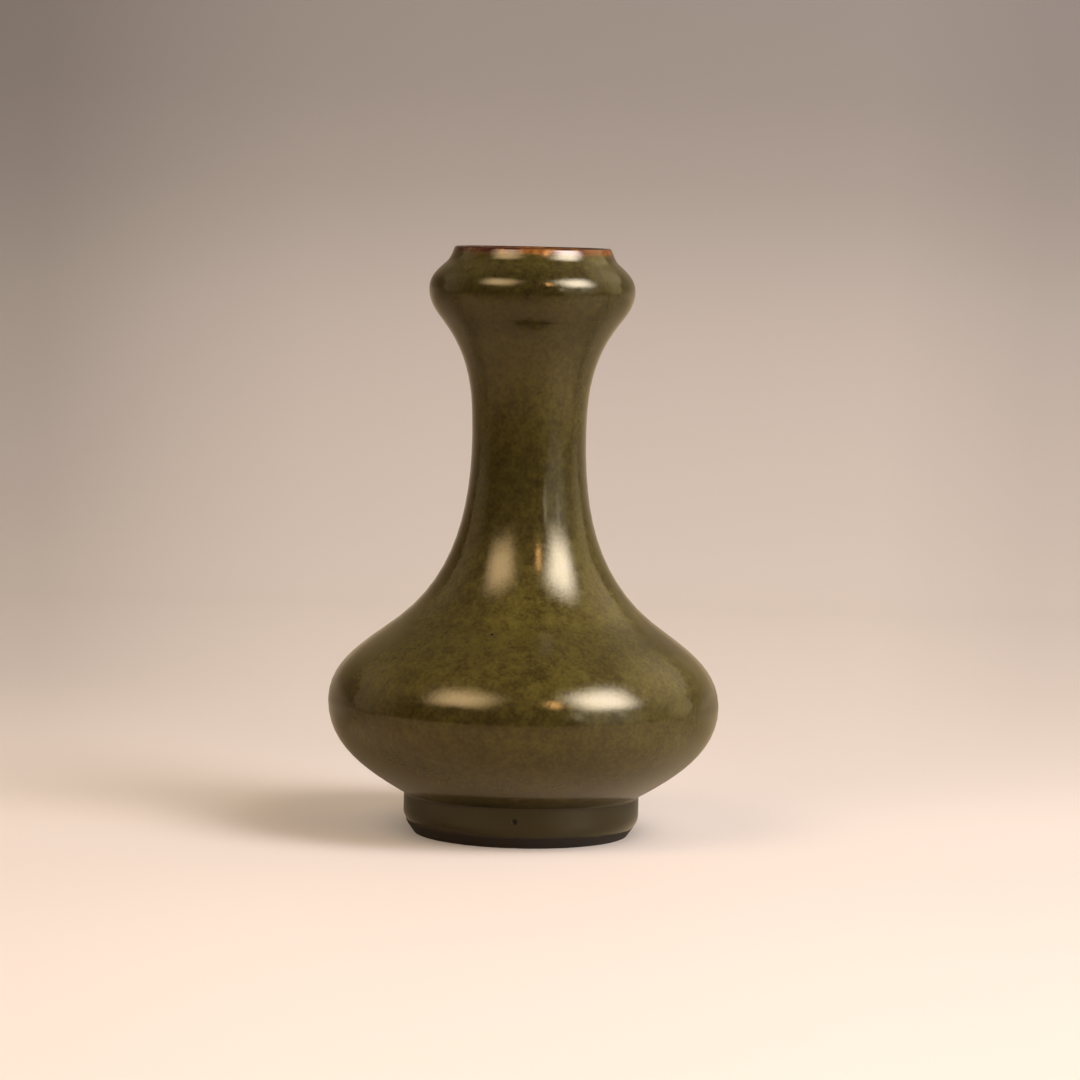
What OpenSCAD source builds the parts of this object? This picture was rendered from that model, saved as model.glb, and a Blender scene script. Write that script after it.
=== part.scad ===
// Garlic head vase: a stoneware bottle thrown in sections, luted together with slip,
// turned at the foot, washed with iron along the foot rim and glazed inside and out.
// Millimetres, +Z up. The origin is the centre of the standing ring, and the axis is Z.
// The outline runs through eight stations, each with a diameter, a height above the one
// below it and a lean from the vertical, joined by smooth curves. Every clay section, seam
// and glaze coat is a layer of that one outline, so neighbours meet face to face.

/* [Foot] */
// Diameter of the foot's upright wall
foot_d = 72.4; // [67:0.1:84]
// Height of the corner between the foot's wall and the belly
foot_h = 12.4; // [9:0.1:20]
// Diameter of the standing face at its outer edge
rest_d = 65.8; // [59:0.1:70]
// Height of the bevel turned between the standing face and the foot's wall
bevel_h = 4.6; // [1.5:0.1:8]
// Diameter of the recess under the base at the standing face
recess_d = 54; // [48:0.5:60]
// Diameter of the recess at its top, against the base
recess_top_d = 52; // [44:0.5:58]
// Drop from the foot's corner to the underside of the base
base_drop = 1.5; // [1.2:0.1:3]
// Radius of the corner between the foot's wall and the belly
foot_round = 1.2; // [0.4:0.1:1.8]

/* [Belly] */
// Lean of the belly where it leaves the foot
under_lean = 60; // [45:1:70]
// Diameter at the girth, the widest place
girth_d = 120; // [96:1:150]
// Height from the foot's corner to the girth
belly_h = 27.7; // [22:0.1:40]
// Diameter half way up the shoulder, where it turns from round to hollow
shoulder_d = 78.5; // [60:0.5:96]
// Height from the girth to that place on the shoulder
shoulder_h = 25.5; // [18:0.1:40]
// Inward lean of the shoulder there
shoulder_lean = 52; // [40:1:62]

/* [Neck] */
// Diameter at the waist, the narrowest place of the neck
waist_d = 35; // [30:0.5:48]
// Height from the shoulder to the waist
neck_h = 56.6; // [40:0.1:90]
// Diameter of the collar, where the neck flares out into the head
collar_d = 54; // [46:0.5:60]
// Height from the waist to the collar
flare_h = 34.9; // [25:0.1:50]
// Outward lean of the neck at the collar
collar_lean = 38; // [28:1:50]

/* [Garlic head] */
// Diameter of the head at its widest place
head_d = 63; // [57:0.1:68]
// Height from the collar to the head's widest place
head_low_h = 9.9; // [8:0.1:16]
// Diameter of the throat, where the head's round turns up into the lip
throat_d = 53.1; // [50:0.1:58]
// Height from the head's widest place to the throat
head_top_h = 8; // [6.5:0.1:12]
// Inward lean of the outline at the throat
throat_lean = 49; // [40:1:58]
// Diameter of the lip
lip_d = 48.2; // [42:0.1:52]
// Height from the throat to the lip's round
lip_h = 4.3; // [3:0.1:8]
// Inward lean of the lip
lip_lean = 20; // [5:1:35]

/* [Curves] */
// Length of each curve's handles, as a share of the distance between its two stations
pull = 0.37; // [0.3:0.01:0.42]

/* [Clay] */
// Wall at the heel, above the foot
heel_wall = 6.5; // [5:0.1:9]
// Wall of the belly and shoulder
belly_wall = 4.6; // [3:0.1:6]
// Wall of the neck
neck_wall = 4.5; // [3:0.1:6]
// Wall of the head at its widest place
head_wall = 3.8; // [2.5:0.1:5]
// Wall at the lip
lip_wall = 1.6; // [1:0.1:2.4]
// Thickness of the floor in the middle
floor_t = 4.5; // [3:0.1:6]
// Thickness of the slip in each luted joint
slip_t = 1; // [0.5:0.1:1.5]
// Height of the ridge of slip left inside a luted joint
slip_ridge = 0.6; // [0.2:0.1:1]

/* [Glazes] */
// Thickness of the glaze outside
glaze_t = 0.6; // [0.35:0.05:1]
// Thickness of the glaze where it has run thin on the lip
lip_glaze_t = 0.3; // [0.2:0.05:0.5]
// Reach of the brown lip glaze down the outside, below the lip's round
lip_band_h = 1.1; // [0.5:0.1:2.4]
// Thickness of the glaze inside
lining_t = 0.4; // [0.2:0.05:0.8]
// Thickness of the glaze under the base
base_glaze_t = 0.5; // [0.2:0.05:0.8]
// Thickness of the iron wash on the foot rim
wash_t = 0.25; // [0.1:0.05:0.3]

/* [Hidden] */

fine = 96;
span_steps = 12;
band_steps = 3;
round_steps = 10;

clay_colour = "#b9a68a";
slip_colour = "#cbb99c";
glaze_colour = "#5a4f2a";
lip_colour = "#8a4f22";
lining_colour = "#6b6038";
wash_colour = "#2e2219";

foot_r = foot_d / 2;
rest_r = rest_d / 2;
recess_r = recess_d / 2;
recess_top_r = recess_top_d / 2;
base_z = foot_h - base_drop;
foot_seam_z = base_z - slip_t;

// Directions along the outline and out of it, at a lean from the vertical.
function along(lean) = [sin(lean), cos(lean)];
function outward(lean) = [cos(lean), -sin(lean)];

// Depths below the outline of the glaze's face, its back, the clay's back and the lining.
function skins(glaze, wall, lining) = [0, glaze, glaze + wall, glaze + wall + lining];

// A station is a point of the outline, its lean, and the depths of the layers there.
function station(d, z, lean, depths) = [[d / 2, z], lean, depths];

girth_z = foot_h + belly_h;
shoulder_z = girth_z + shoulder_h;
waist_z = shoulder_z + neck_h;
collar_z = waist_z + flare_h;
head_z = collar_z + head_low_h;
throat_z = head_z + head_top_h;
lip_z = throat_z + lip_h;
throat_wall = (head_wall + lip_wall) / 2;

belly_skins = skins(glaze_t, belly_wall, lining_t);
neck_skins = skins(glaze_t, neck_wall, lining_t);
corner_cut = foot_round * tan(under_lean / 2);
heel = [
    [foot_r, foot_h] + corner_cut * along(under_lean),
    under_lean,
    skins(glaze_t, heel_wall, lining_t)
];
girth = station(girth_d, girth_z, 0, belly_skins);
shoulder = station(shoulder_d, shoulder_z, -shoulder_lean, belly_skins);
waist = station(waist_d, waist_z, 0, neck_skins);
collar = station(collar_d, collar_z, collar_lean, neck_skins);
head = station(head_d, head_z, 0, skins(glaze_t, head_wall, lining_t));
throat = station(throat_d, throat_z, -throat_lean, skins(glaze_t, throat_wall, lining_t));
lip = station(lip_d, lip_z, -lip_lean, skins(lip_glaze_t, lip_wall, lip_glaze_t));

// A smooth curve leaves station a and reaches station b at their leans. A sample of it
// is a point, the direction out of the vase there, and the depths of the layers.
function handle(a, b) = pull * norm(b[0] - a[0]);

function sample(a, b, t, ridge = 0) =
    let (
        u = 1 - t,
        p = a[0],
        q = a[0] + handle(a, b) * along(a[1]),
        r = b[0] - handle(a, b) * along(b[1]),
        s = b[0],
        run = u * u * (q - p) + 2 * u * t * (r - q) + t * t * (s - r)
    )
    [
        u * u * u * p + 3 * u * u * t * q + 3 * u * t * t * r + t * t * t * s,
        [run[1], -run[0]] / norm(run),
        u * a[2] + t * b[2] + ridge * [0, 0, 1, 1]
    ];

function span(a, b, from = 0, to = 1, steps = span_steps) =
    [for (i = [0:steps]) sample(a, b, from + (to - from) * i / steps)];

// A luted joint fills the first stretch of a span, with a ridge of slip on its inside.
function seam_end(a, b) = slip_t / (3 * handle(a, b));

function seam(a, b) = [
    sample(a, b, 0),
    sample(a, b, seam_end(a, b) / 2, slip_ridge),
    sample(a, b, seam_end(a, b))
];

function above_seam(a, b) = span(a, b, seam_end(a, b));

function tail(list) = [for (i = [1:len(list) - 1]) list[i]];
function reverse(list) = [for (i = [len(list) - 1:-1:0]) list[i]];
function layer(samples, k) = [for (s = samples) s[0] - s[2][k] * s[1]];

// Foot wall from its glaze line to the base, then the hollow corner up to the belly.
foot_wall = [
    for (z = [bevel_h, foot_seam_z, base_z])
        [[foot_r, z], [1, 0], heel[2]]
];

foot_corner = [
    for (i = [0:round_steps])
        let (
            a = under_lean * i / round_steps,
            centre = [foot_r + foot_round, foot_h - corner_cut]
        )
        [centre - foot_round * outward(a), outward(a), heel[2]]
];

// Floor of the bowl: flat in the middle, then a round that meets the heel's inner face.
floor_z = base_z + floor_t;
heel_inside = heel[0] - heel[2][2] * outward(under_lean);
floor_turn = 90 - under_lean;
floor_cut = (heel_inside[1] - floor_z) / sin(floor_turn);
floor_round = floor_cut / tan(floor_turn / 2);
floor_flat_r = heel_inside[0] - floor_cut * (1 + cos(floor_turn));
floor_depths = [0, 0, 0, lining_t];

floor_samples = concat(
    [[[0, floor_z], [0, -1], floor_depths]],
    [
        for (i = [0:round_steps - 1])
            let (out = outward(90 - floor_turn * i / round_steps))
            [[floor_flat_r, floor_z + floor_round] + floor_round * out, out, floor_depths]
    ]
);

// Runs of the outline, from the foot to the lip.
under_run = span(heel, girth);
girth_seam = seam(girth, shoulder);
shoulder_run = above_seam(girth, shoulder);
shoulder_seam = seam(shoulder, waist);
neck_run = concat(above_seam(shoulder, waist), tail(span(waist, collar)));
head_seam = seam(collar, head);
head_run = concat(above_seam(collar, head), tail(span(head, throat)));
band_from = 1 - lip_band_h / lip_h;
throat_run = span(throat, lip, 0, band_from);
band_run = span(throat, lip, band_from, 1, band_steps);

wall_run = concat(
    under_run, tail(girth_seam), tail(shoulder_run), tail(shoulder_seam), tail(neck_run),
    tail(head_seam), tail(head_run), tail(throat_run)
);

// The lip's round: a half circle from the outside to the inside of the wall.
lip_round = lip_wall / 2 + lip_glaze_t;
lip_centre = lip[0] - lip_round * outward(lip[1]);

function lip_arc(r) =
    [for (i = [1:round_steps - 1]) lip_centre + r * outward(lip[1] - 180 * i / round_steps)];

// The foot rim's lines, with the wash's face outside and the clay behind it.
bevel_wash = wash_t * norm([foot_r - rest_r, bevel_h]) / bevel_h;

function bevel_at(z) = rest_r + (foot_r - rest_r) * z / bevel_h;
function recess_at(z) = recess_r + (recess_top_r - recess_r) * z / base_z;

module turned(points) {
    rotate_extrude($fn = fine) polygon(points);
}

module coat(samples, face, back) {
    turned(concat(layer(samples, face), reverse(layer(samples, back))));
}

// Thrown ring under the body, bevelled outside and cut back inside.
module foot_ring() {
    color(clay_colour) turned([
        [foot_r - bevel_wash, bevel_h],
        [bevel_at(wash_t) - bevel_wash, wash_t],
        [recess_at(wash_t) + wash_t, wash_t],
        [recess_at(foot_seam_z) + wash_t, foot_seam_z],
        [foot_r - glaze_t, foot_seam_z],
        [foot_r - glaze_t, bevel_h]
    ]);
}

// Bed of slip that fixes the foot ring under the base.
module foot_slip_seam() {
    color(slip_colour) turned([
        [recess_at(foot_seam_z) + wash_t, foot_seam_z],
        [foot_r - glaze_t, foot_seam_z],
        [foot_r - glaze_t, base_z],
        [recess_top_r + wash_t, base_z]
    ]);
}

// Thrown bowl: the floor and the lower half of the belly.
module lower_body() {
    color(clay_colour) turned(concat(
        [[0, base_z], [foot_r - glaze_t, base_z]],
        layer(foot_corner, 1),
        tail(layer(under_run, 1)),
        reverse(layer(under_run, 2)),
        reverse(layer(floor_samples, 2))
    ));
}

module girth_slip_seam() {
    color(slip_colour) coat(girth_seam, 1, 2);
}

// Thrown shoulder, closed in over the bowl.
module upper_body() {
    color(clay_colour) coat(shoulder_run, 1, 2);
}

module shoulder_slip_seam() {
    color(slip_colour) coat(shoulder_seam, 1, 2);
}

// Thrown neck, drawn in to the waist and flared to the collar.
module neck() {
    color(clay_colour) coat(neck_run, 1, 2);
}

module head_slip_seam() {
    color(slip_colour) coat(head_seam, 1, 2);
}

// Thrown garlic head, from the collar to the rounded lip.
module garlic_head() {
    head_wall_run = concat(head_run, tail(throat_run), tail(band_run));
    color(clay_colour) turned(concat(
        layer(head_wall_run, 1),
        lip_arc(lip_wall / 2),
        reverse(layer(head_wall_run, 2))
    ));
}

// Olive glaze from the foot's bevel to the brown band at the lip.
module outer_glaze() {
    color(glaze_colour) coat(concat(foot_wall, foot_corner, tail(wall_run)), 0, 1);
}

// Thin glaze, fired brown, over the lip.
module lip_glaze() {
    color(lip_colour) turned(concat(
        layer(band_run, 0),
        lip_arc(lip_round),
        [lip[0] - lip[2][3] * outward(lip[1]), lip[0] - lip[2][2] * outward(lip[1])],
        reverse(lip_arc(lip_wall / 2)),
        reverse(layer(band_run, 1))
    ));
}

// Glaze inside, from the floor to the lip.
module inner_glaze() {
    color(lining_colour) coat(concat(floor_samples, wall_run, tail(band_run)), 2, 3);
}

// Disc of glaze under the base, inside the foot ring.
module base_glaze() {
    color(lining_colour) turned([
        [0, base_z - base_glaze_t],
        [recess_at(base_z - base_glaze_t), base_z - base_glaze_t],
        [recess_top_r, base_z],
        [0, base_z]
    ]);
}

// Dark iron wash over the bevel, the standing face and the recess's wall.
module foot_wash() {
    color(wash_colour) turned([
        [foot_r, bevel_h],
        [rest_r, 0],
        [recess_r, 0],
        [recess_top_r, base_z],
        [recess_top_r + wash_t, base_z],
        [recess_at(wash_t) + wash_t, wash_t],
        [bevel_at(wash_t) - bevel_wash, wash_t],
        [foot_r - bevel_wash, bevel_h]
    ]);
}

foot_ring();
foot_slip_seam();
lower_body();
girth_slip_seam();
upper_body();
shoulder_slip_seam();
neck();
head_slip_seam();
garlic_head();
outer_glaze();
lip_glaze();
inner_glaze();
base_glaze();
foot_wash();
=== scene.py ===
import math

import bmesh
import bpy
from mathutils import Matrix, Vector


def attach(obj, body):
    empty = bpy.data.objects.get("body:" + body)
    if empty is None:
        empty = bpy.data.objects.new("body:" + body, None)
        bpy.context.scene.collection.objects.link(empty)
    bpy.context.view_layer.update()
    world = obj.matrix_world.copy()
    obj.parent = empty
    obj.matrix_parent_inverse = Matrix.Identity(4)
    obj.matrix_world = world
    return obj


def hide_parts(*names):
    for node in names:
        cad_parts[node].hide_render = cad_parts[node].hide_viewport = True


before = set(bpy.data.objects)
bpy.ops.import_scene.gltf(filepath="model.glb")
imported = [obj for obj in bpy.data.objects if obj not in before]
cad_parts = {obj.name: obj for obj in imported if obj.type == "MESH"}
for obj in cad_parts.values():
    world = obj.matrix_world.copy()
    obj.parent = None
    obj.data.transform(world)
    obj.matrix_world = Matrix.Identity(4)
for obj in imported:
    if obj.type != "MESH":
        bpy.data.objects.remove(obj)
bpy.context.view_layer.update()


# Thrown clay: the bowl, shoulder, neck and head, each thrown on the wheel from buff stoneware
# and luted to the next. Fired, it is matte and slightly sandy, with iron specks, and the
# coats below cover it all over.

CLAY_SECTIONS = ("lower_body", "upper_body", "neck", "garlic_head")
CLAY_PALE = (0.52, 0.41, 0.28, 1)
CLAY_WARM = (0.40, 0.28, 0.17, 1)
CLAY_IRON = (0.11, 0.06, 0.03, 1)
CLAY_SAND, CLAY_SAND_DEPTH = 0.0006, 0.00012
CLAY_PATCH = 0.02


def new_finish(name):
    """An empty material with its output, and the place on the piece that its patterns read."""
    finish = bpy.data.materials.new(name)
    finish.use_nodes = True
    finish.node_tree.nodes.clear()
    tree = finish.node_tree
    tree.nodes.new("ShaderNodeOutputMaterial")
    place = tree.nodes.new("ShaderNodeTexCoord").outputs["Object"]
    return finish, tree, place


def step(tree, kind, inputs, **settings):
    """One shader node, with its settings, its values and its links."""
    made = tree.nodes.new(kind)
    for key, value in settings.items():
        setattr(made, key, value)
    for key, value in inputs.items():
        if isinstance(value, bpy.types.NodeSocket):
            tree.links.new(value, made.inputs[key])
        else:
            made.inputs[key].default_value = value
    return made


def clouding(tree, place, patch, detail=2.0, rough=0.5):
    """Soft noise from 0 to 1, with patches of the given size in metres."""
    made = step(tree, "ShaderNodeTexNoise", {
        "Vector": place, "Scale": 1 / patch, "Detail": detail, "Roughness": rough,
    })
    return made.outputs["Fac"]


def stretch(tree, value, low, high):
    """A value between low and high taken to between 0 and 1, with eased ends."""
    made = step(tree, "ShaderNodeMapRange", {
        "Value": value, "From Min": low, "From Max": high,
    }, interpolation_type="SMOOTHSTEP")
    return made.outputs["Result"]


def sums(tree, operation, first, second, third=0.0):
    """One line of arithmetic."""
    made = step(tree, "ShaderNodeMath", {0: first, 1: second, 2: third}, operation=operation)
    return made.outputs["Value"]


def tint(tree, share, first, second, how="MIX"):
    """The second colour over the first, by a share from 0 to 1."""
    made = step(tree, "ShaderNodeMix", {0: share, 6: first, 7: second},
                data_type="RGBA", blend_type=how)
    return made.outputs[2]


def relief(tree, height, depth):
    """A fine surface relief of the given depth in metres."""
    made = step(tree, "ShaderNodeBump", {"Height": height, "Distance": depth, "Strength": 1.0})
    return made.outputs["Normal"]


def fire(tree, **sockets):
    """The shader that gathers a finish, joined to its output."""
    inputs = {key.replace("_", " "): value for key, value in sockets.items()}
    shader = step(tree, "ShaderNodeBsdfPrincipled", inputs)
    tree.links.new(shader.outputs["BSDF"], tree.nodes["Material Output"].inputs["Surface"])


clay, tree, place = new_finish("fired_clay")
sand = clouding(tree, place, CLAY_SAND, 3, 0.7)
body_colour = tint(tree, clouding(tree, place, CLAY_PATCH, 3), CLAY_WARM, CLAY_PALE)
body_colour = tint(tree, stretch(tree, sand, 0.62, 0.75), body_colour, CLAY_IRON)
fire(tree, Base_Color=body_colour, Roughness=stretch(tree, sand, -2.0, 0.9),
     Normal=relief(tree, sand, CLAY_SAND_DEPTH))
for section in CLAY_SECTIONS:
    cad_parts[section].data.materials.clear()
    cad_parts[section].data.materials.append(clay)


# Luting slip: the four thin beds of liquid clay that join the sections, finer and paler
# than the thrown clay, wiped round with a finger while wet.

SLIP_BEDS = ("foot_slip_seam", "girth_slip_seam", "shoulder_slip_seam", "head_slip_seam")
SLIP_PALE = (0.62, 0.51, 0.37, 1)
SLIP_DAMP = (0.50, 0.38, 0.25, 1)
WIPE_PATCH, WIPE_DEPTH = 0.006, 0.0001
WIPE_FLATNESS = 6

slip, tree, place = new_finish("luting_slip")
flat = step(tree, "ShaderNodeMapping", {"Vector": place, "Scale": (1, 1, WIPE_FLATNESS)})
wiped = clouding(tree, flat.outputs["Vector"], WIPE_PATCH, 4, 0.6)
fire(tree, Base_Color=tint(tree, wiped, SLIP_DAMP, SLIP_PALE),
     Roughness=stretch(tree, wiped, -1.6, 0.9), Normal=relief(tree, wiped, WIPE_DEPTH))
for bed in SLIP_BEDS:
    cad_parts[bed].data.materials.clear()
    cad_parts[bed].data.materials.append(slip)


# Lining glaze: the thin coat poured round the inside and out again, from the floor of the
# bowl up to the lip. It is thinner and browner than the outside, with the rings that the
# potter's fingers left showing through.

LINING_PALE = (0.135, 0.105, 0.040, 1)
LINING_DARK = (0.055, 0.036, 0.014, 1)
LINING_GRAIN, LINING_PATCH = 0.0013, 0.02
GRAIN_COUNTS, PATCH_COUNTS = 0.7, 0.3
RING_SCALE, RING_STRAY, RING_GRAIN, RING_DEPTH = 22, 1.5, 0.25, 0.0001
TURNS = 160
MERGED = 1e-6
SMOOTH_BELOW = math.radians(40)


def take_up(piece):
    """Selects one piece alone, for the tools that follow."""
    bpy.ops.object.select_all(action="DESELECT")
    piece.select_set(True)
    bpy.context.view_layer.objects.active = piece


def throw_on_wheel(name, node):
    """A new piece: the section of a CAD node, cut through its axis and turned once round it."""
    piece = bpy.data.objects.new(name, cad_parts[node].data.copy())
    piece.data.name = name
    piece.data.materials.clear()
    bpy.context.scene.collection.objects.link(piece)
    take_up(piece)
    bpy.ops.object.mode_set(mode="EDIT")
    bpy.ops.mesh.select_all(action="SELECT")
    bpy.ops.mesh.remove_doubles(threshold=MERGED)
    bpy.ops.mesh.bisect(plane_co=(0, 0, 0), plane_no=(0, 1, 0), clear_inner=True,
                        clear_outer=True, threshold=MERGED)
    bpy.ops.mesh.select_all(action="SELECT")
    bpy.ops.mesh.bisect(plane_co=(0, 0, 0), plane_no=(1, 0, 0), clear_inner=True,
                        threshold=MERGED)
    bpy.ops.mesh.select_all(action="SELECT")
    bpy.ops.mesh.spin(steps=TURNS, angle=math.tau, center=(0, 0, 0), axis=(0, 0, 1))
    bpy.ops.mesh.select_all(action="SELECT")
    bpy.ops.mesh.remove_doubles(threshold=MERGED)
    bpy.ops.mesh.normals_make_consistent(inside=False)
    bpy.ops.object.mode_set(mode="OBJECT")
    bpy.ops.object.shade_smooth_by_angle(angle=SMOOTH_BELOW)
    return piece


lining, tree, place = new_finish("lining_glaze")
rings = step(tree, "ShaderNodeTexWave", {
    "Vector": place, "Scale": RING_SCALE, "Distortion": RING_STRAY, "Detail": 2,
    "Detail Scale": 0.6,
}, bands_direction="Z")
grain = clouding(tree, place, LINING_GRAIN, 3, 0.6)
drift = clouding(tree, place, LINING_PATCH, 2)
share = sums(tree, "MULTIPLY_ADD", grain, GRAIN_COUNTS,
             sums(tree, "MULTIPLY", drift, PATCH_COUNTS))
height = sums(tree, "MULTIPLY_ADD", grain, RING_GRAIN, rings.outputs["Fac"])
fire(tree, Base_Color=tint(tree, stretch(tree, share, 0.3, 0.7), LINING_DARK, LINING_PALE),
     Roughness=stretch(tree, grain, -0.4, 2.2), Normal=relief(tree, height, RING_DEPTH))

lining_coat = throw_on_wheel("lining_coat", "inner_glaze")
lining_coat.data.materials.append(lining)
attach(lining_coat, "root")
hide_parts("inner_glaze")


# Base glaze: the disc of the same glaze under the base, inside the foot ring, brushed on
# while the vase stood upside down, so it lies thick and level.

base_coat = throw_on_wheel("base_coat", "base_glaze")
base_coat.data.materials.append(lining)
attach(base_coat, "root")
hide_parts("base_glaze")


# Foot ring: the turned ring of the same clay that the vase stands on, bevelled outside. The
# bevel's upper edge is rubbed soft all round and a little chipped at the left. Sizes are in
# metres, and angles run from the right, through the back, to the left.

BEVEL_TOP = 0.0046
BEVEL_TOP_RADIUS = 0.0362
BEVEL_FOOT_RADIUS = 0.0329
# The depth of clay, wash and glaze that is worked, and the rings cut round the edge for it.
SKIN = 0.0011
RINGS = 12
STRAY_REACH = 0.0036
# How far handling has rubbed the edge, and the chip in it.
EDGE_REACH = 0.0020
EDGE_GIVE = 0.00032
CHIP_DEPTH = 0.00045
CHIP_AT, CHIP_WIDE = math.radians(176), math.radians(14)
# Where the wash ends: below the edge, lower still at the right, higher at one dab of the
# brush, and in waves of the given heights, counts round the foot and starts.
WASH_BELOW, WASH_LEAN = 0.0009, 0.0006
BRUSH_DAB_AT, BRUSH_DAB_WIDE, BRUSH_DAB_UP = math.radians(-133), math.radians(20), 0.0009
WASH_WAVES = ((0.00014, 5, 1), (0.0001, 11, 2.2), (0.00006, 23, 0), (0.00004, 41, 1))


def bevel_radius(height):
    """The radius of the foot's sharp outline at a height: the bevel, then the upright wall."""
    slope = (BEVEL_TOP_RADIUS - BEVEL_FOOT_RADIUS) / BEVEL_TOP
    return BEVEL_FOOT_RADIUS + slope * min(height, BEVEL_TOP)


def wash_edge(angle):
    """How far the edge between the wash and the glaze strays up from the bevel's edge."""
    dab = math.exp(-((angle - BRUSH_DAB_AT) / BRUSH_DAB_WIDE) ** 2)
    waves = sum(tall * math.sin(count * angle + start) for tall, count, start in WASH_WAVES)
    return BRUSH_DAB_UP * dab - WASH_BELOW - WASH_LEAN * math.cos(angle) + waves


def rub_bevel_edge(piece):
    """Cuts rings round the bevel's upper edge, draws the outer skin in there, as handling does,
    and lets the edge between the wash and the glaze stray."""
    take_up(piece)
    bpy.ops.object.mode_set(mode="EDIT")
    for ring in range(-RINGS, RINGS + 1):
        bpy.ops.mesh.select_all(action="SELECT")
        bpy.ops.mesh.bisect(plane_co=(0, 0, BEVEL_TOP + STRAY_REACH * ring / RINGS),
                            plane_no=(0, 0, 1), threshold=MERGED)
    mesh = bmesh.from_edit_mesh(piece.data)
    for point in mesh.verts:
        radius, sharp = point.co.xy.length, bevel_radius(point.co.z)
        strays = 1 - abs(point.co.z - BEVEL_TOP) / STRAY_REACH
        if strays > 0 and radius > sharp - SKIN:
            angle = math.atan2(point.co.y, point.co.x)
            point.co.z += wash_edge(angle) * strays
            near = max(0.0, 1 - abs(point.co.z - BEVEL_TOP) / EDGE_REACH)
            chip = math.exp(-((abs(angle) - CHIP_AT) / CHIP_WIDE) ** 2)
            give = (EDGE_GIVE + CHIP_DEPTH * chip) * near ** 2
            drawn = (radius + bevel_radius(point.co.z) - sharp - give) / radius
            point.co.x *= drawn
            point.co.y *= drawn
    bmesh.update_edit_mesh(piece.data)
    bpy.ops.object.mode_set(mode="OBJECT")
    bpy.ops.object.shade_smooth_by_angle(angle=SMOOTH_BELOW)


turned_foot = throw_on_wheel("turned_foot", "foot_ring")
rub_bevel_edge(turned_foot)
turned_foot.data.materials.append(clay)
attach(turned_foot, "root")
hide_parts("foot_ring")


# Foot dressing: the dull dark iron wash painted round the bevel, the standing face and the
# recess wall after the glaze was wiped off them. Its upper edge wavers, and it is worn along
# the standing face.

WASH_DARK = (0.012, 0.0078, 0.0055, 1)
WASH_BROWN = (0.024, 0.0155, 0.0095, 1)
WASH_WORN = (0.16, 0.11, 0.07, 1)
# Its upper edge, where it lies thin over the glaze.
WASH_THIN = (0.040, 0.030, 0.013, 1)
THIN_FROM, THIN_TO, THIN_RAGGED = 0.0029, 0.0044, 0.0016
WORN_BELOW = 0.0004
BRUSH_PATCH = 0.004
GRIT, GRIT_DEPTH = 0.0005, 0.00006

wash, tree, place = new_finish("iron_wash")
brush = clouding(tree, place, BRUSH_PATCH, 4, 0.6)
grit = clouding(tree, place, GRIT, 2, 0.6)
up = step(tree, "ShaderNodeSeparateXYZ", {"Vector": place}).outputs["Z"]
colour = tint(tree, stretch(tree, brush, 0.35, 0.7), WASH_DARK, WASH_BROWN)
ragged = sums(tree, "MULTIPLY_ADD", sums(tree, "SUBTRACT", brush, 0.5), THIN_RAGGED, up)
colour = tint(tree, stretch(tree, ragged, THIN_FROM, THIN_TO), colour, WASH_THIN)
rubbed = sums(tree, "MULTIPLY", stretch(tree, up, WORN_BELOW, 0.0),
              stretch(tree, brush, 0.45, 0.7))
colour = tint(tree, rubbed, colour, WASH_WORN)
fire(tree, Base_Color=colour, Roughness=stretch(tree, brush, -1.1, 1.2),
     Specular_IOR_Level=0.3, Normal=relief(tree, grit, GRIT_DEPTH))

foot_dressing = throw_on_wheel("foot_dressing", "foot_wash")
rub_bevel_edge(foot_dressing)
foot_dressing.data.materials.append(wash)
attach(foot_dressing, "root")
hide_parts("foot_wash")


# Tea-dust coat: the olive glaze over the whole outside, from the glaze line on the foot to
# the lip. Fine yellow-green crystals stand in a dark brown glass, so it is waxy rather than
# glassy, greener on the shoulder and browner on the neck. It pools above the foot, and painted
# shade darkens that crease further; its pinholes are painted dark.

DUST_DARK = (0.0305, 0.0208, 0.0048, 1)
DUST_MID = (0.052, 0.0388, 0.0077, 1)
DUST_GREEN = (0.089, 0.0695, 0.0123, 1)
DUST_SHEEN = (1, 0.87, 0.55, 1)
DUST_WAX = (1, 0.80, 0.30, 1)
DUST_BURNT = (0.085, 0.036, 0.011, 1)
VASE_HEIGHT = 0.18
# Its three patterns, as the size of their patches and how much each counts, and its relief.
DRIFT_PATCH, DRIFT_COUNTS = 0.016, 0.30
MOTTLE_PATCH, MOTTLE_COUNTS = 0.0032, 0.36
CRYSTAL_PATCH, CRYSTAL_COUNTS = 0.0011, 0.34
CRYSTAL_DEPTH = 0.00002
# Between which heights it burns brown, and the patches and heights that its edge wavers by.
BURNT_FROM, BURNT_TO = 0.1755, 0.1775
BURNT_WAVERS = ((0.009, 0.0022), (0.0014, 0.0012))
# How it flowed: the size and depth of its waves, the level without them, and where they end.
FLOW_PATCH, FLOW_DEPTH, FLOW_LEVEL = 0.025, 0.00025, 0.6
FLOW_FROM, FLOW_TO = 0.013, 0.172
# Where the shoulder settled at the front, by the height: fuller at its foot, flatter above.
# It fades towards the sides, by how squarely a point faces the front.
SETTLED = ((0.022, 0.0), (0.042, 0.0002), (0.054, -0.00033), (0.080, 0.0))
SETTLED_SIDE, SETTLED_FRONT = 0.17, 0.72
# Pinholes, where a bubble burst in the glaze: their places, radii and depths in metres. The
# outer faces are cut finer twice within so many radii of one, into that many cuts.
PINHOLES = (
    ((-0.00977, -0.03844, 0.06512), 0.0006, 0.00005),
    ((-0.0019, -0.03615, 0.0086), 0.0009, 0.00045),
)
PIT_CUT_REACH, PIT_CUTS = (4, 2), 3
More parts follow.
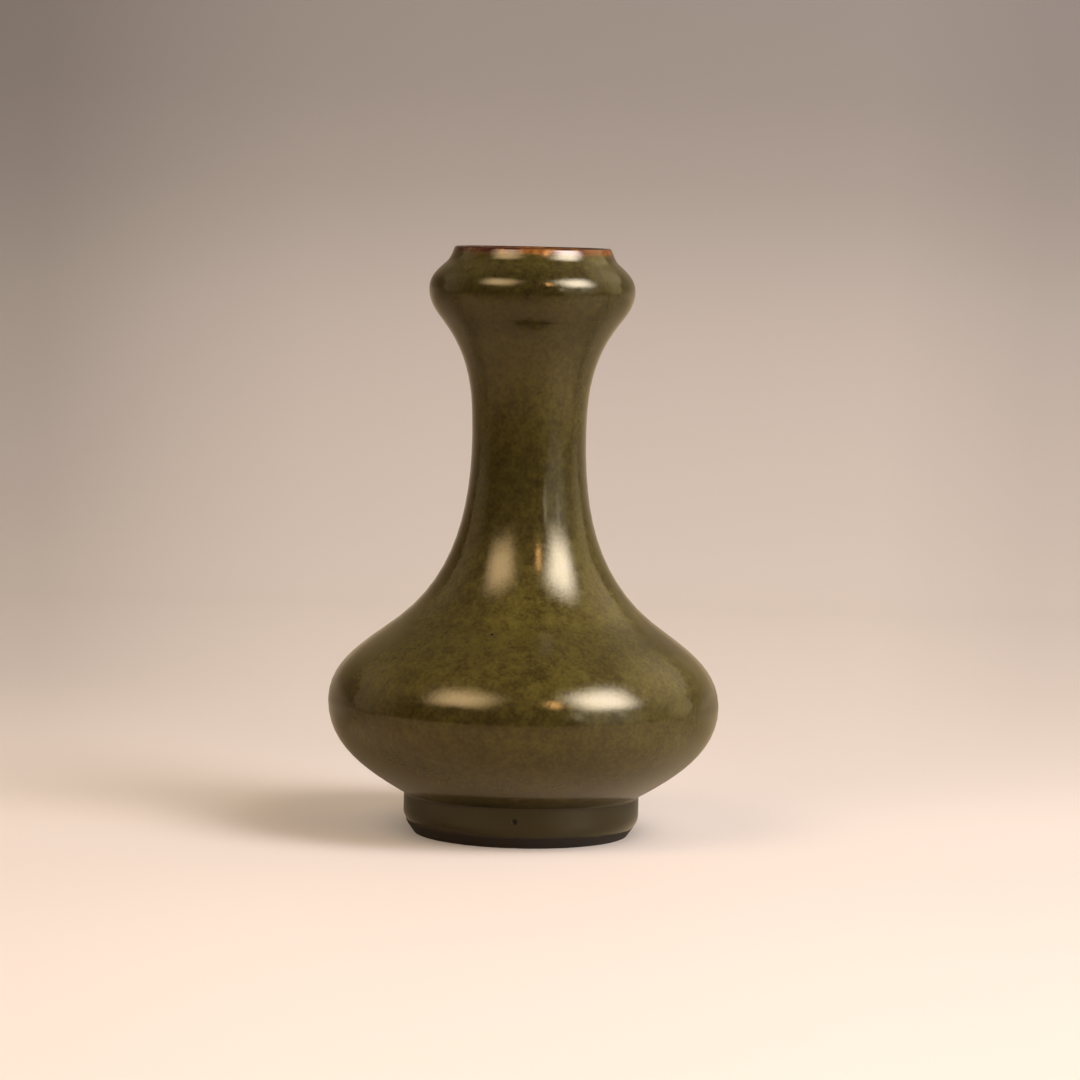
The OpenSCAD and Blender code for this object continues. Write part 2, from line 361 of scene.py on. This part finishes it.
# Each is painted dark within this share of its radius, as painted shade in its pit, and
# duller the deeper it is.
PIT_SHADED_WITHIN, PIT_DULL = 0.7, 2.0
# How light the glaze is, by the height on the vase in millimetres, along lines that rise
# and fall by a drift with patches of the given size. This is partly the glaze's own fired tone
# and partly painted shade, darkest in the crease above the foot.
TONE_LINE_PATCH, TONE_LINE_WAVERS = 0.022, 0.004
FIRED_TONE_AND_SHADE = (
    (4.6, 0.14), (11.5, 0.12), (12.6, 0.06), (15, 0.46), (22, 0.66), (36, 0.68), (41, 0.57),
    (45, 0.58), (50, 0.74), (57, 0.69), (61, 0.57), (65, 0.59), (69, 0.79), (76, 0.76),
    (88, 0.64), (98, 0.52), (106, 0.49), (113, 0.49), (122, 0.58), (135, 0.63), (150, 0.55),
    (158, 0.46), (168, 0.42), (172, 0.41), (175.5, 0.56), (178, 0.60),
)


def graded(tree, value, stops, curve="EASE"):
    """A grey that follows a value between 0 and 1 through the given stops."""
    made = step(tree, "ShaderNodeValToRGB", {"Fac": value})
    made.color_ramp.interpolation = curve
    marks = made.color_ramp.elements
    while len(marks) < len(stops):
        marks.new(0.5)
    for mark, (at, grey) in zip(marks, stops):
        mark.position = at
        mark.color = (grey, grey, grey, 1)
    return made.outputs["Color"]


def burnt_share(tree, place):
    """1 where the glaze has run thin at the lip and burnt brown, 0 below its wavering edge."""
    line = step(tree, "ShaderNodeSeparateXYZ", {"Vector": place}).outputs["Z"]
    for patch, wavers in BURNT_WAVERS:
        line = sums(tree, "MULTIPLY_ADD", clouding(tree, place, patch), -wavers, line)
    return stretch(tree, line, BURNT_FROM, BURNT_TO)


def wobble(piece):
    """The slight unevenness of a glaze that flowed in the kiln, none at the foot and the lip."""
    take_up(piece)
    loose = piece.vertex_groups.new(name="loose")
    for point in piece.data.vertices:
        from_ends = min(point.co.z - FLOW_FROM, FLOW_TO - point.co.z) / FLOW_PATCH
        loose.add([point.index], max(0.0, min(1.0, from_ends)), "REPLACE")
    flow = bpy.data.textures.new("glaze_flow", "CLOUDS")
    flow.noise_scale = FLOW_PATCH
    waves = piece.modifiers.new("wobble", "DISPLACE")
    waves.texture = flow
    waves.texture_coords = "LOCAL"
    waves.vertex_group = "loose"
    waves.mid_level = FLOW_LEVEL
    waves.strength = FLOW_DEPTH
    bpy.ops.object.modifier_apply(modifier="wobble")


def eased(value, start, end):
    """0 at the start, 1 at the end, and a smooth rise between them."""
    part = max(0.0, min(1.0, (value - start) / (end - start)))
    return part ** 3 * (part * (6 * part - 15) + 10)


def settle_shoulder(piece):
    """The slight slump of the shoulder at the front, in the outer face only."""
    outer = [point for point in piece.data.vertices if point.normal.xy.dot(point.co.xy) > 0]
    for point in outer:
        out = point.co.xy.normalized()
        give = 0.0
        for (low, before), (high, after) in zip(SETTLED, SETTLED[1:]):
            if low <= point.co.z < high:
                give = before + (after - before) * eased(point.co.z, low, high)
        give *= eased(-out.y, SETTLED_SIDE, SETTLED_FRONT)
        point.co.x += out.x * give
        point.co.y += out.y * give


def burst_pinhole(piece, hole, size, deep):
    """A small pit: the outer faces round it are cut finer and their points pushed in."""
    take_up(piece)
    bpy.ops.object.mode_set(mode="EDIT")
    bpy.ops.mesh.select_mode(type="FACE")
    for reach in PIT_CUT_REACH:
        bpy.ops.mesh.select_all(action="DESELECT")
        mesh = bmesh.from_edit_mesh(piece.data)
        for face in mesh.faces:
            middle = face.calc_center_median()
            face.select_set((middle - hole).length < reach * size
                            and face.normal.xy.dot(middle.xy) > 0)
        bmesh.update_edit_mesh(piece.data)
        bpy.ops.mesh.subdivide(number_cuts=PIT_CUTS)
    mesh = bmesh.from_edit_mesh(piece.data)
    inward = Vector((-hole.x, -hole.y, 0)).normalized()
    for point in mesh.verts:
        off = (point.co - hole).length / size
        if off < 1 and point.normal.xy.dot(point.co.xy) > 0:
            point.co += inward * deep * (1 - off * off)
    bmesh.update_edit_mesh(piece.data)
    bpy.ops.object.mode_set(mode="OBJECT")


tea_dust, tree, place = new_finish("tea_dust_glaze")
up = step(tree, "ShaderNodeSeparateXYZ", {"Vector": place}).outputs["Z"]
drift = clouding(tree, place, DRIFT_PATCH, 3, 0.55)
mottle = clouding(tree, place, MOTTLE_PATCH, 3, 0.55)
crystal = clouding(tree, place, CRYSTAL_PATCH, 2, 0.5)
share = sums(tree, "MULTIPLY", drift, DRIFT_COUNTS)
share = sums(tree, "MULTIPLY_ADD", mottle, MOTTLE_COUNTS, share)
share = sums(tree, "MULTIPLY_ADD", crystal, CRYSTAL_COUNTS, share)
colour = tint(tree, stretch(tree, share, 0.32, 0.54), DUST_DARK, DUST_MID)
colour = tint(tree, stretch(tree, share, 0.44, 0.70), colour, DUST_GREEN)
# The greys by height: partly the glaze's own tone, partly painted shade, as in the crease above
# the foot.
level = sums(tree, "MULTIPLY_ADD", clouding(tree, place, TONE_LINE_PATCH), TONE_LINE_WAVERS, up)
level = sums(tree, "DIVIDE", sums(tree, "SUBTRACT", level, TONE_LINE_WAVERS / 2), VASE_HEIGHT)
tone_and_shade = graded(tree, level, [(mm / 1000 / VASE_HEIGHT, grey) for mm, grey in FIRED_TONE_AND_SHADE])
colour = tint(tree, 1.0, colour, tone_and_shade, "MULTIPLY")
colour = tint(tree, burnt_share(tree, place), colour, DUST_BURNT)
gloss = stretch(tree, mottle, -0.48, 3.6)
# Each pinhole's pit is painted dark with the wash's colour: painted shade.
for hole, size, deep in PINHOLES:
    off = step(tree, "ShaderNodeVectorMath", {0: place, 1: hole}, operation="DISTANCE")
    pit = stretch(tree, off.outputs["Value"], size, PIT_SHADED_WITHIN * size)
    colour = tint(tree, pit, colour, WASH_DARK)
    dull = sums(tree, "MULTIPLY", pit, PIT_DULL * deep / size)
    gloss = sums(tree, "MAXIMUM", gloss, dull)
fire(tree, Base_Color=colour, Roughness=gloss, IOR=1.49,
     Specular_Tint=DUST_SHEEN, Sheen_Weight=0.09, Sheen_Roughness=0.5, Sheen_Tint=DUST_WAX,
     Normal=relief(tree, crystal, CRYSTAL_DEPTH))

tea_dust_coat = throw_on_wheel("tea_dust_coat", "outer_glaze")
rub_bevel_edge(tea_dust_coat)
wobble(tea_dust_coat)
settle_shoulder(tea_dust_coat)
for hole, size, deep in PINHOLES:
    burst_pinhole(tea_dust_coat, Vector(hole), size, deep)
tea_dust_coat.data.materials.append(tea_dust)
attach(tea_dust_coat, "root")
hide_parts("outer_glaze")


# Lip glaze: the glossy rust-brown band over the rounded lip, where the glaze ran thin and
# the iron of the clay burnt through it.

RUST = (0.125, 0.038, 0.0075, 1)
RUST_DARK = (0.042, 0.012, 0.007, 1)
RUST_LIGHT = (0.23, 0.096, 0.017, 1)
LIP_OLIVE = (0.070, 0.052, 0.012, 1)
LIP_TOP_SHADE = (0.030, 0.014, 0.008, 1)
LIP_SHEEN = (1, 0.88, 0.70, 1)
# How much darker it is towards the left, by the metre, and between which heights its top,
# where it turns inward, is painted dark: painted shade.
DARKER_TOWARDS_LEFT = 6.0
TOP_SHADE_FROM, TOP_SHADE_TO = 0.1795, 0.1800
RUST_PATCH = 0.014
FLECK, FLECK_DEPTH = 0.003, 0.00003

rust, tree, place = new_finish("rust_lip_glaze")
spot = step(tree, "ShaderNodeSeparateXYZ", {"Vector": place}).outputs
burn_and_leftward_dark = clouding(tree, place, RUST_PATCH, 3, 0.55)
fleck = clouding(tree, place, FLECK, 2, 0.5)
# The lip is made darker towards the left, by its distance across.
burn_and_leftward_dark = sums(tree, "MULTIPLY_ADD", spot["X"], DARKER_TOWARDS_LEFT, burn_and_leftward_dark)
colour = tint(tree, stretch(tree, burn_and_leftward_dark, 0.36, 0.60), RUST_DARK, RUST)
colour = tint(tree, stretch(tree, fleck, 0.46, 0.76), colour, RUST_LIGHT)
# Painted shade: the top of the lip, where it turns inward, is darkened.
colour = tint(tree, stretch(tree, spot["Z"], TOP_SHADE_FROM, TOP_SHADE_TO), colour, LIP_TOP_SHADE)
colour = tint(tree, burnt_share(tree, place), LIP_OLIVE, colour)
fire(tree, Base_Color=colour, Roughness=stretch(tree, fleck, -0.5, 3.6), IOR=1.5,
     Specular_Tint=LIP_SHEEN, Normal=relief(tree, fleck, FLECK_DEPTH))

rust_lip = throw_on_wheel("rust_lip", "lip_glaze")
rust_lip.data.materials.append(rust)
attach(rust_lip, "root")
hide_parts("lip_glaze")


# Table and backdrop: one sheet of pale warm paper that lies under the vase, ends a short
# way in front of it and sweeps up behind it. Painted shade makes it darker towards its top and
# its sides and round the foot, and it has a painted glow. The glaze mirrors a painted
# reflection of it, warmer and with its own painted light and shade.

SHEET_HALF_WIDTH = 2.2
SHEET_FRONT = -0.85
SHEET_BACK = 1.2
SHEET_HEIGHT = 0.9
BACK_EDGE_WITHIN = 0.001
SWEEP, SWEEP_STEPS = 0.5, 32
PAPER = (0.515, 0.446, 0.372, 1)
# A painted glow: the paper gives off light, seen by the camera and in the glaze's reflections.
PAPER_PAINTED_GLOW = 0.40
# Painted light and shade on the sheet, by the distance in metres back along the table and up
# the sweep.
SHEET_PAINTED_SHADE = (
    (-0.85, 0.96), (-0.22, 0.96), (-0.08, 0.935), (0.0, 0.962), (0.07, 0.98), (0.14, 0.922),
    (0.24, 0.89), (0.42, 0.925), (0.62, 0.98), (0.70, 0.988), (0.78, 0.95), (0.88, 0.87),
    (0.97, 0.822), (1.05, 0.77), (1.12, 0.722), (1.19, 0.655), (1.25, 0.57), (1.31, 0.495),
    (1.4, 0.415), (1.6, 0.35), (2.1, 0.30),
)
# And by the slope of the line that runs to it along the table from the point below the camera.
# This shade is painted on the sheet, stays put in other views, and counts less at the front.
FAN_POINT = -1.24
FAN_GREYS = (
    (-0.30, 0.59), (-0.120, 0.67), (-0.105, 0.74), (-0.09, 0.83), (-0.073, 0.90),
    (-0.055, 0.96), (0.0, 1.03), (0.055, 1.06), (0.083, 1.01), (0.10, 0.96), (0.124, 0.87),
    (0.30, 0.78),
)
FAN_COUNTS = ((-0.85, 0.12), (0.08, 0.06), (0.2, 0.2), (0.4, 0.7), (0.8, 0.8), (1.1, 1.0),
              (2.1, 1.0))
# What the glaze mirrors of it is a painted reflection: warmer, and with painted light and
# shade by the distance to the right, and along and up.
MIRRORED_WARM = (0.88, 0.82, 0.69, 1)
MIRRORED_PAINTED_ACROSS = (
    (-2.2, 0.38), (-1.2, 0.68), (-0.5, 0.90), (-0.3, 1.12), (-0.1, 1.12), (0.0, 1.02),
    (0.04, 1.08), (0.12, 1.27), (0.22, 1.22), (0.45, 0.86), (0.7, 1.10), (1.1, 1.50),
    (1.6, 1.46), (2.2, 1.25),
)
MIRRORED_PAINTED_ALONG = (
    (-0.85, 0.18), (-0.45, 0.48), (-0.28, 0.68), (-0.16, 1.03), (-0.08, 1.04), (-0.02, 0.93),
    (0.02, 0.62), (0.05, 0.40), (0.1, 0.40), (0.16, 0.60), (0.25, 0.60), (0.5, 0.50),
    (0.9, 0.82), (1.1, 1.24), (1.2, 1.34), (1.35, 1.04), (1.6, 0.86), (2.1, 0.85),
)
# And a painted shadow that darkens it close to the foot, by the distance from the middle of
# the standing ring.
FOOT_PAINTED_SHADOW = ((0.0, 0.66), (0.033, 0.68), (0.037, 0.80), (0.042, 0.90), (0.048, 0.96),
              (0.06, 1.0))
WHITE = (1, 1, 1, 1)

bpy.ops.object.select_all(action="DESELECT")
bpy.ops.mesh.primitive_plane_add(size=1)
sheet = bpy.context.active_object
sheet.name = "table_and_backdrop"
bpy.ops.object.mode_set(mode="EDIT")
bpy.ops.mesh.select_all(action="SELECT")
bpy.ops.transform.resize(value=(2 * SHEET_HALF_WIDTH, SHEET_BACK - SHEET_FRONT, 1))
bpy.ops.transform.translate(value=(0, (SHEET_BACK + SHEET_FRONT) / 2, 0))
bpy.ops.mesh.select_all(action="DESELECT")
bpy.ops.mesh.select_mode(type="EDGE")
outline = bmesh.from_edit_mesh(sheet.data)
for edge in outline.edges:
    edge.select_set(min(v.co.y for v in edge.verts) > SHEET_BACK - BACK_EDGE_WITHIN)
bmesh.update_edit_mesh(sheet.data)
bpy.ops.mesh.extrude_region_move(TRANSFORM_OT_translate={"value": (0, 0, SHEET_HEIGHT)})
bpy.ops.object.mode_set(mode="OBJECT")
bend = sheet.modifiers.new("sweep", "BEVEL")
bend.width = SWEEP
bend.segments = SWEEP_STEPS
bend.limit_method = "ANGLE"
bpy.ops.object.modifier_apply(modifier="sweep")
bpy.ops.object.shade_smooth()


def shaded_by(tree, colour, value, stops):
    """A colour times a grey that follows a value in metres through the given stops."""
    low, high = stops[0][0], stops[-1][0]
    along = step(tree, "ShaderNodeMapRange", {"Value": value, "From Min": low, "From Max": high})
    greys = graded(tree, along.outputs["Result"], [
        ((at - low) / (high - low), grey) for at, grey in stops], "B_SPLINE")
    return tint(tree, 1.0, colour, greys, "MULTIPLY")


paper, tree, place = new_finish("backdrop_paper")
spot = step(tree, "ShaderNodeSeparateXYZ", {"Vector": place}).outputs
back = sums(tree, "ADD", spot["Y"], spot["Z"])
fan = sums(tree, "DIVIDE", spot["X"], sums(tree, "SUBTRACT", spot["Y"], FAN_POINT))
# What the camera sees: the paper with painted shade.
painted_shade_paper = shaded_by(tree, PAPER, back, SHEET_PAINTED_SHADE)
counts = shaded_by(tree, WHITE, back, FAN_COUNTS)
seen = tint(tree, counts, painted_shade_paper, shaded_by(tree, painted_shade_paper, fan, FAN_GREYS))
from_middle = step(tree, "ShaderNodeVectorMath", {0: place}, operation="LENGTH").outputs["Value"]
# The painted shadow round the foot.
seen = shaded_by(tree, seen, from_middle, FOOT_PAINTED_SHADOW)
# The painted reflection, which the glaze mirrors in place of the sheet as it is seen.
painted_reflection = tint(tree, 1.0, painted_shade_paper, MIRRORED_WARM, "MULTIPLY")
painted_reflection = shaded_by(tree, painted_reflection, spot["X"], MIRRORED_PAINTED_ACROSS)
painted_reflection = shaded_by(tree, painted_reflection, back, MIRRORED_PAINTED_ALONG)
ray = step(tree, "ShaderNodeLightPath", {}).outputs
colour = tint(tree, ray["Is Camera Ray"], painted_reflection, seen)
# The painted glow, only for the camera and for the glaze's reflections.
glow = sums(tree, "MULTIPLY", PAPER_PAINTED_GLOW,
            sums(tree, "MAXIMUM", ray["Is Camera Ray"], ray["Is Glossy Ray"]))
fire(tree, Base_Color=colour, Roughness=0.55, Specular_IOR_Level=0.35,
     Emission_Color=colour, Emission_Strength=glow)
sheet.data.materials.append(paper)


# Lamps: a strong soft box at the front right and a weaker, warmer one at the front left, each
# bright in the middle and fading to its edges, a thin warm strip beside the right-hand box and
# two thin cool ones under it. The walls of the room glow dimly at the sides.

VASE_MIDDLE = Vector((0, 0, 0.1))
AWAY = 1.6


def towards(round_by, up_by):
    """The direction round to the right from the front and up, both in degrees."""
    turn, rise = math.radians(round_by), math.radians(up_by)
    return Vector((math.sin(turn) * math.cos(rise), -math.cos(turn) * math.cos(rise),
                   math.sin(rise)))


def hang_lamp(name, round_by, up_by, wide, tall, brightness, colour, rim=0.86):
    """A soft box that faces the vase, turned round to the right and up, in degrees. Its light
    fades over the share of its half width that the rim takes."""
    at = VASE_MIDDLE + AWAY * towards(round_by, up_by)
    lamp = bpy.data.lights.new(name, "AREA")
    lamp.shape = "RECTANGLE"
    lamp.size, lamp.size_y = wide, tall
    lamp.energy = brightness * math.pi * wide * tall
    lamp.color = colour
    lamp.use_nodes = True
    tree = lamp.node_tree
    cloth = tree.nodes.new("ShaderNodeNewGeometry").outputs["Parametric"]
    across = step(tree, "ShaderNodeSeparateXYZ", {"Vector": cloth})
    glow = 1.0
    for side in ("X", "Y"):
        off_middle = sums(tree, "ABSOLUTE", sums(tree, "MULTIPLY_ADD", across.outputs[side],
                                                 2.0, -1.0), 0.0)
        glow = sums(tree, "MULTIPLY", stretch(tree, off_middle, 1.0, 1.0 - rim), glow)
    tree.links.new(glow, tree.nodes["Emission"].inputs["Strength"])
    stand = bpy.data.objects.new(name, lamp)
    stand.location = at
    stand.rotation_euler = (VASE_MIDDLE - at).to_track_quat("-Z", "Y").to_euler()
    stand.visible_camera = False
    bpy.context.scene.collection.objects.link(stand)


hang_lamp("soft_box_right", round_by=57.5, up_by=39.5, wide=1.45, tall=1.38,
          brightness=22.5, colour=(1, 0.96, 1.08))
hang_lamp("soft_box_left", round_by=-43.5, up_by=42.0, wide=1.45, tall=1.2,
          brightness=9.2, colour=(1, 0.78, 0.60))
hang_lamp("warm_strip", round_by=21, up_by=38.5, wide=0.25, tall=0.62,
          brightness=14.5, colour=(1, 0.60, 0.31), rim=0.7)
hang_lamp("cool_strip_near", round_by=33, up_by=14, wide=0.20, tall=0.52,
          brightness=3.2, colour=(1, 0.99, 0.96), rim=0.7)
hang_lamp("cool_strip_far", round_by=59, up_by=15, wide=0.22, tall=0.52,
          brightness=2.4, colour=(0.92, 1, 1.08), rim=0.7)

ROOM_DARK = (0.05, 0.043, 0.036, 1)
ROOM_PALE = (0.62, 0.54, 0.49, 1)
# Where the walls glow, round to the right and up, within how many degrees of that fully and
# at all, and with what light.
WALL_GLOWS = (
    (54, 14, 8, 28, (0.95, 0.96, 1.03, 1)),
    (74, 6, 4, 16, (0.55, 0.46, 0.31, 1)),
    (115, 22, 4, 40, (1.22, 1.03, 0.69, 1)),
    (116, 54, 2, 34, (0.32, 0.27, 0.18, 1)),
    (-112, 10, 8, 40, (0.42, 0.33, 0.23, 1)),
)

room = bpy.data.worlds.new("studio")
bpy.context.scene.world = room
room.use_nodes = True
tree = room.node_tree
sky = tree.nodes.new("ShaderNodeTexCoord").outputs["Generated"]
walls = ROOM_DARK
for round_by, up_by, full, gone, light in WALL_GLOWS:
    facing = step(tree, "ShaderNodeVectorMath", {0: sky, 1: towards(round_by, up_by)},
                  operation="DOT_PRODUCT")
    share = stretch(tree, facing.outputs["Value"], math.cos(math.radians(gone)),
                    math.cos(math.radians(full)))
    walls = tint(tree, share, walls, light, "ADD")
ray = step(tree, "ShaderNodeLightPath", {}).outputs
tree.links.new(tint(tree, ray["Is Camera Ray"], walls, ROOM_PALE),
               tree.nodes["Background"].inputs["Color"])


# Camera: a little above the lip, looking slightly down, as the photograph was taken.

EYE = Vector((0, -1.24, 0.1935))
LOOKS_DOWN, LOOKS_RIGHT, LEANS = (math.radians(a) for a in (4.7501, 0.1863, 1.2933))
LENS, SENSOR = 135.18, 36
NEAREST, FARTHEST = 0.01, 20

camera = bpy.data.objects.new("camera", bpy.data.cameras.new("camera"))
camera.data.sensor_width = SENSOR
camera.data.lens = LENS
camera.data.clip_start, camera.data.clip_end = NEAREST, FARTHEST
camera.matrix_world = (
    Matrix.Translation(EYE)
    @ Matrix.Rotation(-LOOKS_RIGHT, 4, "Z")
    @ Matrix.Rotation(math.pi / 2 - LOOKS_DOWN, 4, "X")
    @ Matrix.Rotation(LEANS, 4, "Z")
)
bpy.context.scene.collection.objects.link(camera)
bpy.context.scene.camera = camera
bpy.context.scene.view_settings.view_transform = "Standard"
